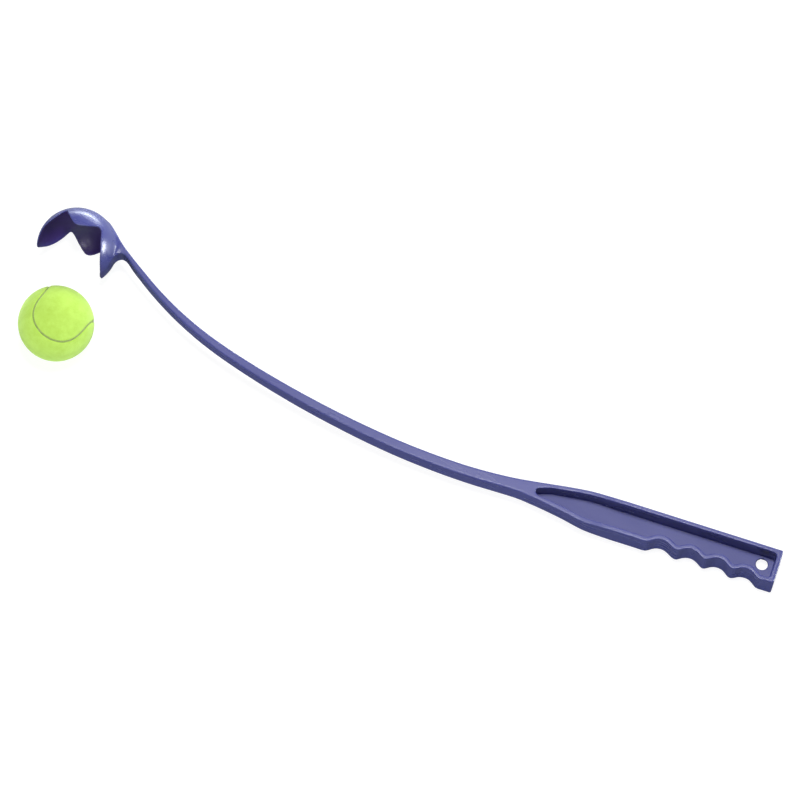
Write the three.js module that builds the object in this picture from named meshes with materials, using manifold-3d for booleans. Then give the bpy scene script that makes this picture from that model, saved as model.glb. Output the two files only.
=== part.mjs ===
// Dog ball thrower: a one-piece plastic thrower lying on its side, with its felt ball beside the cup.
// Units are millimetres, +Z is up.
//
// The thrower is drawn in a frame of its own. The origin is the centre of the ball cup, +X runs along
// the chord to the end of the handle, +Z is across the thrower (the side that faces up as it lies), and
// the cup opens towards -Y, which is also the side of the finger grooves. Lying on a table it rests on
// one cup lobe and on the end of the handle, so that frame is turned by LIE_ANGLE about Y.
import * as THREE from 'three';
import { mergeVertices } from 'three/addons/utils/BufferGeometryUtils.js';
import Module from 'manifold-3d';

// ---------------------------------------------------------------- driving dimensions
const BALL_R = 32.5;            // felt ball, 65 mm across
const FELT_T = 3.0;             // felt thickness
const CORE_T = 3.6;             // rubber wall
const GAP = 0.3;                // gap between touching pieces

const CUP_RI = 32.8;            // inside of the cup
const CUP_RO = 34.4;            // outside of the cup
const CUP_LOW = 33.065;         // height of the cup centre above the table
const LIE_ANGLE = 1.7075 * Math.PI / 180;

const HANDLE_ANGLE = 7.92 * Math.PI / 180;   // slope of the grip against the chord
const HANDLE_T = 27.0;          // grip, across
const SPLIT_X = 430.0;          // where the arm ends and the handle begins
const WEB_TOP = -3.8;           // web of the handle: upper and lower face
const WEB_BOTTOM = -6.4;
const HOLE_R = 5.1;             // hang hole
const HOLE_S = 634.9;           // its place along the grip and below the grip's upper edge
const HOLE_N = -10.2;

const BALL_AT = [17.72, -69.53, -0.583];     // ball centre from the cup centre, in the table's axes
const BALL_TURN = [0.1226, -0.6995, -0.6663, -0.2272];   // turn of the seam, x y z w
const SEAM = [0.219, 0.4915];   // shape of the seam curve
const SEAM_HALF = 1.4;          // half the seam's width

// Rim of the cup: [angle round the opening axis from the arm side, angle from the opening axis], degrees.
// The long lobe on the arm side, a valley, the short side lobe, a valley, the long far lobe: first over the
// side that faces up, then over the side that lies on the table.
const RIM_UP = [
  [0, 64.2], [5, 64.8], [11, 66.4], [18, 68.8], [25, 72.2], [32, 77.3], [38, 83.8], [43, 90.6], [47, 97.6],
  [50, 103.8], [52.6, 111.0], [55, 115.4], [58, 117.2], [61.5, 116.9], [66, 114.7], [71, 111.7], [76, 108.6],
  [81, 105.8], [86, 103.4], [91, 102.2], [96, 102.8], [101, 105.2], [106, 108.6], [111, 112.2], [116, 115.6],
  [121, 118.8], [125, 121.4], [127.6, 122.4], [129.4, 121.2], [131.0, 114.8], [133, 107.5], [136, 101.0],
  [140, 95.6], [146, 90.3], [151, 85.4], [156, 79.0], [160, 73.2], [164, 69.0], [169, 66.4], [174, 65.3],
  [180, 65.2],
];
const RIM_DOWN = [
  [0, 64.2], [5, 64.6], [11, 65.8], [18, 68.0], [25, 71.6], [32, 76.6], [38, 82.6], [43, 89.4], [47, 96.8],
  [50, 103.6], [52.6, 110.2], [55, 115.2], [58, 117.6], [61.5, 118.0], [65, 117.0], [69, 114.9], [74, 111.8],
  [79, 108.7], [84, 106.5], [89, 106.0], [92, 106.9], [96.5, 109.1], [102, 112.2], [107.7, 115.2],
  [113.2, 118.3], [118.5, 120.8], [123.2, 122.5], [127.5, 123.4], [130.0, 122.6], [131.2, 118.9],
  [131.9, 114.7], [133.0, 109.0], [134.8, 103.6], [137, 98.4], [140.8, 92.0], [146, 85.4], [153, 79.0],
  [159, 74.8], [164, 71.6], [169, 68.8], [174, 66.6], [180, 65.2],
];

// Upper edge of the arm, [x, y] in the thrower's own plane.
const ARM_TOP = [
  [28, 21.64], [34, 18.41], [40, 15.13], [46, 12.00], [52, 8.87], [58, 5.80], [66, 1.90], [76, -2.81],
  [88, -7.86], [100, -12.44], [114, -17.00], [130, -21.41], [148, -25.28], [168, -28.59], [190, -31.51],
  [214, -34.01], [240, -36.02], [268, -37.37], [298, -37.89], [328, -37.29], [358, -35.28], [386, -32.14],
  [412, -27.57], [430, -23.46],
];
// Height of the arm in its own plane and its thickness across, by x.
const ARM_H = [[60, 4.4], [88, 4.8], [122, 5.4], [155, 6.1], [192, 6.5], [234, 6.85], [275, 7.15], [308, 7.5],
  [346, 7.85], [384, 8.3], [409, 8.9], [420, 9.5], [430, 10.3]];
const THICK = [[0, 15], [60, 15], [160, 15], [195, 15.8], [235, 17], [275, 17.6], [310, 18.2], [385, 18.4],
  [413, 18.8], [435, 19.6], [470, 21.4], [490, 22.4], [501, 23.9], [510, 26], [519, 27], [680, 27]];
// Underside of the arm's root, where it curls down onto the cup.
const ROOT_UNDER = [[53.6, 2.95], [50.0, 4.9], [46.6, 6.9], [43.6, 8.5], [40.8, 9.4], [38.2, 9.2], [36.3, 8.0],
  [35.0, 6.4], [34.2, 5.0], [33.2, 3.6]];

// Upper edge of the handle's neck.
const NECK_TOP = [[430, -23.46], [436, -21.80], [443, -19.78], [450, -17.80], [457, -15.75], [465, -13.42],
  [473, -11.15], [481, -8.95], [487, -7.45], [492, -6.45], [497, -5.65], [503, -4.90]];
// Lower edge of the neck.
const NECK_LOW = [[496, -33.20], [489, -33.20], [482, -32.80], [474, -32.45], [464, -32.30], [454, -32.45],
  [444, -32.85], [436, -33.20], [430, -33.45]];
// Finger side of the grip: [along the grip, below the grip's upper edge].
const GRIP_LOW = [
  [492, -27.05], [505, -27.0], [520, -26.95], [532, -26.95], [537.5, -26.95], [540.2, -26.45], [542.4, -25.1],
  [544.6, -23.5], [547.0, -22.2], [549.6, -21.5], [552.2, -21.3], [554.8, -21.7], [557.6, -22.8], [560.6, -24.5],
  [563.0, -25.6], [565.0, -26.0], [566.9, -25.6], [569.0, -24.2], [571.2, -22.9], [573.6, -21.9], [576.2, -21.4],
  [578.8, -21.5], [581.6, -22.4], [584.6, -24.0], [587.2, -25.6], [589.2, -26.3], [591.2, -25.7], [593.4, -24.3],
  [595.6, -23.0], [598.0, -22.1], [600.6, -21.8], [603.2, -22.0], [606.2, -23.1], [609.0, -25.1], [611.2, -26.5],
  [613.4, -26.9], [615.4, -26.3], [617.4, -25.2], [619.6, -24.0], [622.0, -23.3], [624.8, -23.1], [627.6, -23.4],
  [630.4, -24.8], [633.2, -26.7], [635.4, -28.1], [637.6, -28.6], [642.0, -28.6], [648.8, -28.6],
];
const GRIP_END = 648.8;

// ---------------------------------------------------------------- small helpers
const lerp = (table, x) => {
  if (x <= table[0][0]) return table[0][1];
  for (let i = 1; i < table.length; i++) {
    if (x <= table[i][0]) {
      const t = (x - table[i - 1][0]) / (table[i][0] - table[i - 1][0]);
      return table[i - 1][1] + t * (table[i][1] - table[i - 1][1]);
    }
  }
  return table[table.length - 1][1];
};
const GRIP_D = [Math.cos(HANDLE_ANGLE), Math.sin(HANDLE_ANGLE)];
const GRIP_N = [-Math.sin(HANDLE_ANGLE), Math.cos(HANDLE_ANGLE)];
const GRIP_TOP = -74.35;        // the grip's upper edge, measured square to it
const grip = (s, n) => [s * GRIP_D[0] + (GRIP_TOP + n) * GRIP_N[0], s * GRIP_D[1] + (GRIP_TOP + n) * GRIP_N[1]];

// One closed indexed mesh from a list of points and triangles.
function mesh3(points, triangles) {
  const g = new THREE.BufferGeometry();
  g.setAttribute('position', new THREE.Float32BufferAttribute(points.flat(), 3));
  g.setIndex(triangles.flat());
  return g;
}
// A flat outline, extruded along Z from z0 to z1.
function prism(outline, z0, z1) {
  const s = new THREE.Shape(outline.map(([x, y]) => new THREE.Vector2(x, y)));
  const g = new THREE.ExtrudeGeometry(s, { depth: z1 - z0, bevelEnabled: false, curveSegments: 1 });
  g.translate(0, 0, z0);
  return g;
}

// ---------------------------------------------------------------- booleans
const wasm = await Module();
wasm.setup();
function solid(geometry) {
  let g = geometry.clone();
  g.deleteAttribute('normal');
  g.deleteAttribute('uv');
  g = mergeVertices(g, 1e-5);
  return new wasm.Manifold(new wasm.Mesh({
    numProp: 3,
    vertProperties: new Float32Array(g.attributes.position.array),
    triVerts: new Uint32Array(g.index.array),
  }));
}
function geometryOf(manifold) {
  const m = manifold.getMesh();
  const g = new THREE.BufferGeometry();
  const p = new Float32Array(m.numVert * 3);
  for (let i = 0; i < m.numVert; i++) for (let k = 0; k < 3; k++) p[3 * i + k] = m.vertProperties[m.numProp * i + k];
  g.setAttribute('position', new THREE.BufferAttribute(p, 3));
  g.setIndex(new THREE.BufferAttribute(new Uint32Array(m.triVerts), 1));
  return g;
}

// ---------------------------------------------------------------- ball cup
// The opening axis is -Y. A point of the cup at angle a round it (0 on the arm side, 90 up) and angle l from it.
function cupPoint(a, l, r) {
  const A = a * Math.PI / 180, L = l * Math.PI / 180;
  return [r * Math.sin(L) * Math.cos(A), -r * Math.cos(L), r * Math.sin(L) * Math.sin(A)];
}
function buildCup() {
  const rim = [...RIM_UP];
  for (let i = RIM_DOWN.length - 2; i > 0; i--) rim.push([360 - RIM_DOWN[i][0], RIM_DOWN[i][1]]);
  const n = rim.length, rows = 10;
  const points = [], tris = [];
  const shell = (r) => {
    const start = points.length;
    for (let j = 0; j < rows; j++) for (let i = 0; i < n; i++) {
      points.push(cupPoint(rim[i][0], rim[i][1] + (180 - rim[i][1]) * Math.pow(j / rows, 0.92), r));
    }
    points.push(cupPoint(0, 180, r));
    return start;
  };
  const outer = shell(CUP_RO), inner = shell(CUP_RI);
  const wall = (start, flip) => {
    const put = (a, b, c) => tris.push(flip ? [a, c, b] : [a, b, c]);
    for (let j = 0; j < rows - 1; j++) for (let i = 0; i < n; i++) {
      const k = (i + 1) % n;
      const a = start + j * n + i, b = start + j * n + k, c = start + (j + 1) * n + i, d = start + (j + 1) * n + k;
      put(a, c, b); put(b, c, d);
    }
    const pole = start + rows * n;
    for (let i = 0; i < n; i++) put(start + (rows - 1) * n + i, pole, start + (rows - 1) * n + (i + 1) % n);
  };
  wall(outer, false);
  wall(inner, true);
  for (let i = 0; i < n; i++) {
    const k = (i + 1) % n;
    tris.push([outer + i, outer + k, inner + i], [outer + k, inner + k, inner + i]);
  }
  return mesh3(points, tris);
}

// ---------------------------------------------------------------- thickness of the moulding, seen from above the edge
function thicknessBand(x0, x1) {
  const xs = [x0, ...THICK.map((t) => t[0]).filter((x) => x > x0 && x < x1), x1];
  const outline = [];
  for (const x of xs) outline.push([x, lerp(THICK, x) / 2]);
  for (const x of [...xs].reverse()) outline.push([x, -lerp(THICK, x) / 2]);
  const g = prism(outline, -120, 120);   // drawn in x, z and turned so that it runs along y
  g.rotateX(Math.PI / 2);
  return g;
}

// ---------------------------------------------------------------- arm
function armLow() {
  const low = [];
  for (let i = 1; i < ARM_TOP.length - 1; i++) {
    const [x, y] = ARM_TOP[i];
    if (x < 58) continue;
    const dx = ARM_TOP[i + 1][0] - ARM_TOP[i - 1][0], dy = ARM_TOP[i + 1][1] - ARM_TOP[i - 1][1];
    const l = Math.hypot(dx, dy), h = lerp(ARM_H, x);
    const p = [x + dy / l * h, y - dx / l * h];
    if (p[0] < SPLIT_X - GAP / 2 - 3) low.push(p);
  }
  return low;
}
function buildArm() {
  const x1 = SPLIT_X - GAP / 2;
  const outline = [[30, 2.5], [20, 10], [16, 27], ...ARM_TOP.slice(0, -1), [x1, ARM_TOP[ARM_TOP.length - 1][1] - 0.03]];
  outline.push([x1, NECK_LOW[NECK_LOW.length - 1][1]]);
  outline.push(...armLow().reverse());
  outline.push(...ROOT_UNDER);
  let arm = solid(prism(outline.reverse(), -20, 20)).intersect(solid(thicknessBand(0, x1 + 10)));
  const round = new THREE.SphereGeometry(CUP_RO + GAP, 72, 48);
  arm = arm.subtract(solid(round));
  return geometryOf(arm);
}

// ---------------------------------------------------------------- handle
// The outline moved inwards by d.
function inset(outline, d) {
  const n = outline.length, out = [];
  for (let i = 0; i < n; i++) {
    const p = outline[(i + n - 1) % n], q = outline[i], r = outline[(i + 1) % n];
    const a = [q[0] - p[0], q[1] - p[1]], b = [r[0] - q[0], r[1] - q[1]];
    const la = Math.hypot(...a), lb = Math.hypot(...b);
    const na = [-a[1] / la, a[0] / la], nb = [-b[1] / lb, b[0] / lb];
    const m = [na[0] + nb[0], na[1] + nb[1]], k = (m[0] * na[0] + m[1] * na[1]);
    out.push([q[0] + m[0] / k * d, q[1] + m[1] / k * d]);
  }
  return out;
}
// An arc of a rounded corner at c, from angle a0 to a1 in degrees.
function arc(c, r, a0, a1, steps) {
  const out = [];
  for (let i = 0; i <= steps; i++) {
    const a = (a0 + (a1 - a0) * i / steps) * Math.PI / 180;
    out.push([c[0] + r * Math.cos(a), c[1] + r * Math.sin(a)]);
  }
  return out;
}
// The recess at rim width w: upper side and lower side follow the outline, both ends are rounded.
function recess(w, endW) {
  const up = [], low = [];
  for (const [x, y] of NECK_TOP.filter((p) => p[0] >= 453)) {
    const i = NECK_TOP.findIndex((p) => p[0] === x);
    const b = NECK_TOP[Math.min(i + 1, NECK_TOP.length - 1)], a = NECK_TOP[i - 1];
    const l = Math.hypot(b[0] - a[0], b[1] - a[1]);
    up.push([x + (b[1] - a[1]) / l * w, y - (b[0] - a[0]) / l * w]);
  }
  const s1 = GRIP_END - endW, rc = 3.2;
  up.push(grip(506, -w), grip(560, -w), grip(610, -w));
  up.push(...arc(grip(s1 - rc, -w - rc), rc, 90 + 7.92, 7.92, 5));
  // lower side, from the butt back to the neck
  const floor = -28.6 + w;
  low.push(...arc(grip(s1 - rc, floor + rc), rc, 7.92, -90 + 7.92, 5));
  const pts = GRIP_LOW.filter((p) => p[0] < 636);
  for (let i = pts.length - 1; i >= 1; i--) {
    const a = pts[i - 1], q = pts[i], b = pts[Math.min(i + 1, pts.length - 1)];
    const l = Math.hypot(b[0] - a[0], b[1] - a[1]);
    const s = q[0] - (b[1] - a[1]) / l * w * 0.8, n = q[1] + (b[0] - a[0]) / l * w;
    low.push(grip(s, n));
  }
  for (const [x, y] of NECK_LOW.filter((p) => p[0] <= 490 && p[0] >= 454)) {
    const i = NECK_LOW.findIndex((p) => p[0] === x);
    const a = NECK_LOW[i - 1], b = NECK_LOW[i + 1];
    const l = Math.hypot(b[0] - a[0], b[1] - a[1]);
    low.push([x + (b[1] - a[1]) / l * w, y - (b[0] - a[0]) / l * w]);
  }
  // rounded end at the neck
  const nose = arc([450.6, -25.9], 3.3, 258, 112, 7);
  return [...up, ...low, ...nose].reverse();
}
function buildHandle() {
  const x0 = SPLIT_X + GAP / 2;
  const outline = [[x0, NECK_TOP[0][1]], ...NECK_TOP.slice(1)];
  outline.push(grip(506, 0), grip(GRIP_END, 0));
  for (const [s, n] of [...GRIP_LOW].reverse()) outline.push(grip(s, n));
  outline.push(...NECK_LOW.slice(0, -1), [x0, NECK_LOW[NECK_LOW.length - 1][1]]);
  let h = solid(prism(outline.reverse(), -HANDLE_T / 2, HANDLE_T / 2)).intersect(solid(thicknessBand(x0 - 10, 680)));
  h = h.subtract(solid(prism(recess(3.0, 3.7), WEB_TOP, 40)));
  h = h.subtract(solid(prism(recess(3.0, 3.7), -40, WEB_BOTTOM)));
  const c = grip(HOLE_S, HOLE_N);
  const hole = new THREE.CylinderGeometry(HOLE_R, HOLE_R, 60, 40);
  hole.rotateX(Math.PI / 2);
  hole.translate(c[0], c[1], 0);
  h = h.subtract(solid(hole));
  return geometryOf(h);
}

// ---------------------------------------------------------------- ball
function seamDirection(t) {
  const b = SEAM[0], a = 1 - b, c = SEAM[1];
  return new THREE.Vector3(a * Math.cos(t) + b * Math.cos(3 * t), a * Math.sin(t) - b * Math.sin(3 * t), c * Math.sin(2 * t)).normalize();
}
// The direction on the seam moved sideways by the angle w, towards the first panel.
function besideSeam(t, w) {
  const p = seamDirection(t), q = seamDirection(t + 1e-3);
  const side = new THREE.Vector3().crossVectors(p, q.sub(p)).normalize();
  return p.clone().multiplyScalar(Math.cos(w)).addScaledVector(side, Math.sin(w));
}
function buildPanel() {
  const w = (SEAM_HALF + GAP) / BALL_R, n = 44, m = 12;
  const ro = BALL_R, ri = BALL_R - FELT_T;
  const dirs = [];
  for (let i = 0; i <= n; i++) {
    const t = -Math.PI / 4 + Math.PI * i / n;
    const a = besideSeam(t, w), b = besideSeam(1.5 * Math.PI - t, w);
    const row = [];
    const ang = a.angleTo(b);
    for (let j = 0; j <= m; j++) {
      if (i === 0 || i === n) { row.push(a.clone()); continue; }
      const f = j / m, s = Math.sin(ang);
      row.push(a.clone().multiplyScalar(Math.sin((1 - f) * ang) / s).addScaledVector(b, Math.sin(f * ang) / s).normalize());
    }
    dirs.push(row);
  }
  const points = [], index = [[], []];
  for (let layer = 0; layer < 2; layer++) {
    const r = layer === 0 ? ro : ri;
    for (let i = 0; i <= n; i++) {
      const row = [];
      for (let j = 0; j <= m; j++) {
        if ((i === 0 || i === n) && j > 0) { row.push(row[0]); continue; }
        const d = dirs[i][j];
        row.push(points.length);
        points.push([d.x * r, d.y * r, d.z * r]);
      }
      index[layer].push(row);
    }
  }
  const tris = [];
  const put = (a, b, c, flip) => { if (a !== b && b !== c && a !== c) tris.push(flip ? [a, c, b] : [a, b, c]); };
  for (let layer = 0; layer < 2; layer++) for (let i = 0; i < n; i++) for (let j = 0; j < m; j++) {
    const q = index[layer], f = layer === 1;
    put(q[i][j], q[i + 1][j], q[i][j + 1], !f);
    put(q[i + 1][j], q[i + 1][j + 1], q[i][j + 1], !f);
  }
  const ring = (layer) => {
    const r = [];
    for (let i = 0; i <= n; i++) r.push(index[layer][i][0]);
    for (let i = n - 1; i > 0; i--) r.push(index[layer][i][m]);
    return r;
  };
  const o = ring(0), q = ring(1), k = o.length;
  for (let i = 0; i < k; i++) {
    const j = (i + 1) % k;
    put(o[i], o[j], q[i], false);
    put(o[j], q[j], q[i], false);
  }
  const g = mesh3(points, tris);
  g.computeBoundingBox();
  return g;
}
function buildSeam() {
  const n = 100, ro = BALL_R - 0.7, ri = BALL_R - FELT_T, w = SEAM_HALF / BALL_R;
  const points = [], tris = [];
  for (let i = 0; i < n; i++) {
    const t = 2 * Math.PI * i / n;
    for (const [r, s] of [[ro, w], [ro, -w], [ri, -w], [ri, w]]) {
      const d = besideSeam(t, s);
      points.push([d.x * r, d.y * r, d.z * r]);
    }
  }
  for (let i = 0; i < n; i++) for (let k = 0; k < 4; k++) {
    const a = 4 * i + k, b = 4 * i + (k + 1) % 4, c = 4 * ((i + 1) % n) + k, d = 4 * ((i + 1) % n) + (k + 1) % 4;
    tris.push([a, b, c], [b, d, c]);
  }
  return mesh3(points, tris);
}
function buildCoreHalf() {
  const ro = BALL_R - FELT_T - GAP, ri = ro - CORE_T, k = 9, z = GAP / 2;
  const profile = [];
  for (let i = 0; i <= k; i++) {
    const a = Math.PI / 2 - (Math.PI / 2 - Math.asin(z / ro)) * i / k;
    profile.push(new THREE.Vector2(ro * Math.cos(a), ro * Math.sin(a)));
  }
  for (let i = k; i >= 0; i--) {
    const a = Math.PI / 2 - (Math.PI / 2 - Math.asin(z / ri)) * i / k;
    profile.push(new THREE.Vector2(ri * Math.cos(a), ri * Math.sin(a)));
  }
  profile[0].x = 0;
  profile[profile.length - 1].x = 0;
  return new THREE.LatheGeometry(profile.reverse(), 30);
}

// A closed body whose faces point outwards, whichever way its triangles were listed.
function outward(geometry) {
  let g = geometry.clone();
  g.deleteAttribute('normal');
  g.deleteAttribute('uv');
  g = mergeVertices(g, 1e-5);
  const p = g.attributes.position, ix = Array.from(g.index.array), keep = [];
  let volume = 0;
  const a = new THREE.Vector3(), b = new THREE.Vector3(), c = new THREE.Vector3();
  for (let i = 0; i < ix.length; i += 3) {
    if (ix[i] === ix[i + 1] || ix[i + 1] === ix[i + 2] || ix[i] === ix[i + 2]) continue;
    keep.push(ix[i], ix[i + 1], ix[i + 2]);
    a.fromBufferAttribute(p, ix[i]); b.fromBufferAttribute(p, ix[i + 1]); c.fromBufferAttribute(p, ix[i + 2]);
    volume += a.dot(b.cross(c)) / 6;
  }
  if (volume < 0) for (let i = 0; i < keep.length; i += 3) [keep[i + 1], keep[i + 2]] = [keep[i + 2], keep[i + 1]];
  g.setIndex(keep);
  g.computeVertexNormals();
  return g;
}
function part(name, geometry, color, roughness) {
  const m = new THREE.Mesh(outward(geometry), new THREE.MeshStandardMaterial({ color, roughness, metalness: 0 }));
  m.name = name;
  return m;
}

// ---------------------------------------------------------------- assembly
const PLASTIC = 0x6a68a8, FELT = 0xb9ea5a, SEAM_COLOR = 0x7f9a49, RUBBER = 0x3a3a38;

const thrower = new THREE.Group();
thrower.add(part('ball_cup', buildCup(), PLASTIC, 0.35));
thrower.add(part('throwing_arm', buildArm(), PLASTIC, 0.35));
thrower.add(part('handle', buildHandle(), PLASTIC, 0.35));
thrower.rotation.y = LIE_ANGLE;
thrower.position.set(0, 0, CUP_LOW);

const ball = new THREE.Group();
const panelA = part('felt_panel_a', buildPanel(), FELT, 0.95);
const panelB = part('felt_panel_b', buildPanel(), FELT, 0.95);
panelB.rotation.x = Math.PI;
ball.add(panelA, panelB);
ball.add(part('seam_strip', buildSeam(), SEAM_COLOR, 0.8));
const coreA = part('core_half_a', buildCoreHalf(), RUBBER, 0.7);
const coreB = part('core_half_b', buildCoreHalf(), RUBBER, 0.7);
coreB.rotation.x = Math.PI;
ball.add(coreA, coreB);
ball.quaternion.set(...BALL_TURN).normalize();
ball.position.set(BALL_AT[0], BALL_AT[1], CUP_LOW + BALL_AT[2]);

// The origin of the whole is under the middle of its box, on the table.
const set = new THREE.Group();
set.add(thrower, ball);
set.position.set(-311.262, 33.812, 0);

const object = new THREE.Group();
object.add(set);
export default object;
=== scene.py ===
import math

import bpy
import numpy as np
from mathutils import Matrix, Vector


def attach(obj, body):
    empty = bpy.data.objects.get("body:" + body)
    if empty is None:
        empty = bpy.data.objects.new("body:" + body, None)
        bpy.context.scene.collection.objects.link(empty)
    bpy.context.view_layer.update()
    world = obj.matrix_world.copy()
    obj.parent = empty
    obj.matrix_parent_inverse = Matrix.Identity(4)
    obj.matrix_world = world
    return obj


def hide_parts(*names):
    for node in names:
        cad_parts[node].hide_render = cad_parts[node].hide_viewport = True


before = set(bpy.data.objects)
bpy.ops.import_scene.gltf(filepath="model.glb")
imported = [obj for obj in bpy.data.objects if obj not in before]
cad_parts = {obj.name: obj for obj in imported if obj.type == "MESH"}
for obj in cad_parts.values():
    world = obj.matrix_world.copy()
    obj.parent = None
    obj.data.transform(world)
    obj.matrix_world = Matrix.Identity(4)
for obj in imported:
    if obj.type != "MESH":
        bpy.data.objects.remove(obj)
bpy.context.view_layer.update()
scene = bpy.context.scene

# ------------------------------------------------------------------ the shape, in millimetres
# The thrower has a frame of its own: origin at the centre of the cup, +x along the chord to the end of
# the handle, +z across it, and the cup opens towards -y. It lies turned by LIE about y.
LIE = math.radians(1.7075)
CUP_AT = np.array([-311.262, 33.812, 33.065])
BALL_AT = np.array([-293.542, -35.718, 32.482])
BALL_TURN = (0.1226, -0.6995, -0.6663, -0.2272)          # x y z w
BALL_R, FELT_T, SEAM, SEAM_HALF = 32.5, 3.0, (0.219, 0.4915), 0.95

CUP_RI, CUP_RO = 32.8, 34.4
HANDLE_ANGLE = math.radians(7.92)
GRIP_TOP, GRIP_END = -74.35, 648.4
WEB_TOP, WEB_BOTTOM = -3.8, -6.4
HOLE_R, HOLE_S, HOLE_N = 5.0, 634.9, -10.2

# Rim of the cup: angle round the opening axis from the arm side, angle from that axis, degrees: over the
# side that faces up, then over the side that lies on the table.
RIM_UP = [
    (0, 64.2), (5, 64.8), (11, 66.4), (18, 68.8), (25, 72.2), (32, 77.3), (38, 83.8), (43, 90.6), (47, 97.6),
    (50, 103.8), (52.6, 111.0), (55, 115.4), (58, 117.2), (61.5, 116.9), (66, 114.7), (71, 111.7), (76, 108.6),
    (81, 105.8), (86, 103.4), (91, 102.2), (96, 102.8), (101, 105.2), (106, 108.6), (111, 112.2), (116, 115.6),
    (121, 118.8), (125, 121.4), (127.6, 122.4), (129.4, 121.2), (131.0, 115.6), (133, 109.3), (136, 102.9),
    (140, 97.5), (146, 92.1), (151, 87.0), (156, 80.2), (160, 73.8), (164, 69.0), (169, 66.4), (174, 65.3),
    (180, 65.2)]
RIM_DOWN = [
    (0, 64.2), (5, 64.6), (11, 65.8), (18, 68.0), (25, 71.6), (32, 76.6), (38, 82.6), (43, 89.4), (47, 96.8),
    (50, 103.6), (52.6, 110.2), (55, 115.2), (58, 117.6), (61.5, 118.0), (65, 117.0), (69, 114.9), (74, 111.8),
    (79, 108.7), (84, 106.5), (89, 106.0), (92, 106.9), (96.5, 109.1), (102, 112.2), (107.7, 115.2),
    (113.2, 118.3), (118.5, 120.8), (123.2, 122.5), (127.5, 123.4), (130.0, 122.6), (131.2, 118.9),
    (131.9, 114.7), (133.0, 109.0), (134.8, 103.6), (137, 98.4), (140.8, 92.0), (146, 85.4), (153, 79.0),
    (159, 74.8), (164, 71.6), (169, 68.8), (174, 66.6), (180, 65.2)]
ARM_TOP = [
    (28, 21.64), (34, 18.41), (40, 15.13), (46, 12.00), (52, 8.87), (58, 5.80), (66, 1.90), (76, -2.81),
    (88, -7.86), (100, -12.44), (114, -17.00), (130, -21.41), (148, -25.28), (168, -28.59), (190, -31.51),
    (214, -34.01), (240, -36.02), (268, -37.37), (298, -37.89), (328, -37.29), (358, -35.28), (386, -32.14),
    (412, -27.57), (430, -23.46)]
ARM_H = [(60, 4.4), (88, 4.8), (122, 5.4), (155, 6.1), (192, 6.5), (234, 6.85), (275, 7.15), (308, 7.5),
         (346, 7.85), (384, 8.3), (409, 8.9), (420, 9.5), (430, 10.3)]
THICK = [(0, 15), (60, 15), (160, 15), (195, 15.8), (235, 17), (275, 17.6), (310, 18.2), (385, 18.4),
         (413, 18.8), (435, 19.6), (470, 21.4), (490, 22.4), (501, 23.9), (510, 26), (519, 27), (680, 27)]
ROOT_UNDER = [(53.6, 2.95), (50.0, 4.9), (46.6, 6.9), (43.6, 8.5), (40.8, 9.4), (38.2, 9.2), (36.3, 8.0),
              (35.0, 6.4), (34.2, 5.0), (33.2, 3.6)]
NECK_TOP = [(430, -23.46), (436, -21.80), (443, -19.78), (450, -17.80), (457, -15.75), (465, -13.42),
            (473, -11.15), (481, -8.95), (487, -7.45), (492, -6.45), (497, -5.65), (503, -4.90)]
NECK_LOW = [(496, -33.20), (489, -33.20), (482, -32.80), (474, -32.45), (464, -32.30), (454, -32.45),
            (444, -32.85), (436, -33.20), (430, -33.45)]
GRIP_LOW = [
    (492, -27.05), (505, -27.0), (520, -26.95), (532, -26.95), (537.5, -26.95), (540.2, -26.45), (542.4, -25.1),
    (544.6, -23.5), (547.0, -22.2), (549.6, -21.5), (552.2, -21.3), (554.8, -21.7), (557.6, -22.8), (560.6, -24.5),
    (563.0, -25.6), (565.0, -26.0), (566.9, -25.6), (569.0, -24.2), (571.2, -22.9), (573.6, -21.9), (576.2, -21.4),
    (578.8, -21.5), (581.6, -22.4), (584.6, -24.0), (587.2, -25.6), (589.2, -26.3), (591.2, -25.7), (593.4, -24.3),
    (595.6, -23.0), (598.0, -22.1), (600.6, -21.8), (603.2, -22.0), (606.2, -23.1), (609.0, -25.1), (611.2, -26.5),
    (613.4, -26.9), (615.4, -26.3), (617.4, -25.2), (619.6, -24.0), (622.0, -23.3), (624.8, -23.1), (627.6, -23.4),
    (630.4, -24.8), (633.2, -26.7), (635.4, -28.1), (637.6, -28.6), (642.0, -28.6), (647.6, -28.6)]

GD = np.array([math.cos(HANDLE_ANGLE), math.sin(HANDLE_ANGLE)])
GN = np.array([-math.sin(HANDLE_ANGLE), math.cos(HANDLE_ANGLE)])


def grip(s, n):
    return GD * s + GN * (GRIP_TOP + n)


def arc(c, r, a0, a1, steps):
    a = np.radians(np.linspace(a0, a1, steps + 1))
    return [(c[0] + r * math.cos(t), c[1] + r * math.sin(t)) for t in a]


def curve(points, step):
    """A smooth curve through points, sampled about every step millimetres."""
    p = np.array(points, float)
    u = np.concatenate([[0], np.cumsum(np.linalg.norm(np.diff(p, axis=0), axis=1))])
    t = np.zeros_like(p)
    h = np.diff(u)[:, None]
    d = np.diff(p, axis=0) / h
    t[1:-1] = (d[:-1] * h[1:] + d[1:] * h[:-1]) / (h[:-1] + h[1:])
    t[0], t[-1] = 1.5 * d[0] - 0.5 * t[1], 1.5 * d[-1] - 0.5 * t[-2]
    out = []
    for i in range(len(p) - 1):
        k = max(1, int(math.ceil(h[i, 0] / step)))
        s = (np.arange(k) / k)[:, None]
        out.append((2 * s**3 - 3 * s**2 + 1) * p[i] + (s**3 - 2 * s**2 + s) * h[i] * t[i]
                   + (3 * s**2 - 2 * s**3) * p[i + 1] + (s**3 - s**2) * h[i] * t[i + 1])
    return np.vstack(out + [p[-1:]])


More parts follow.
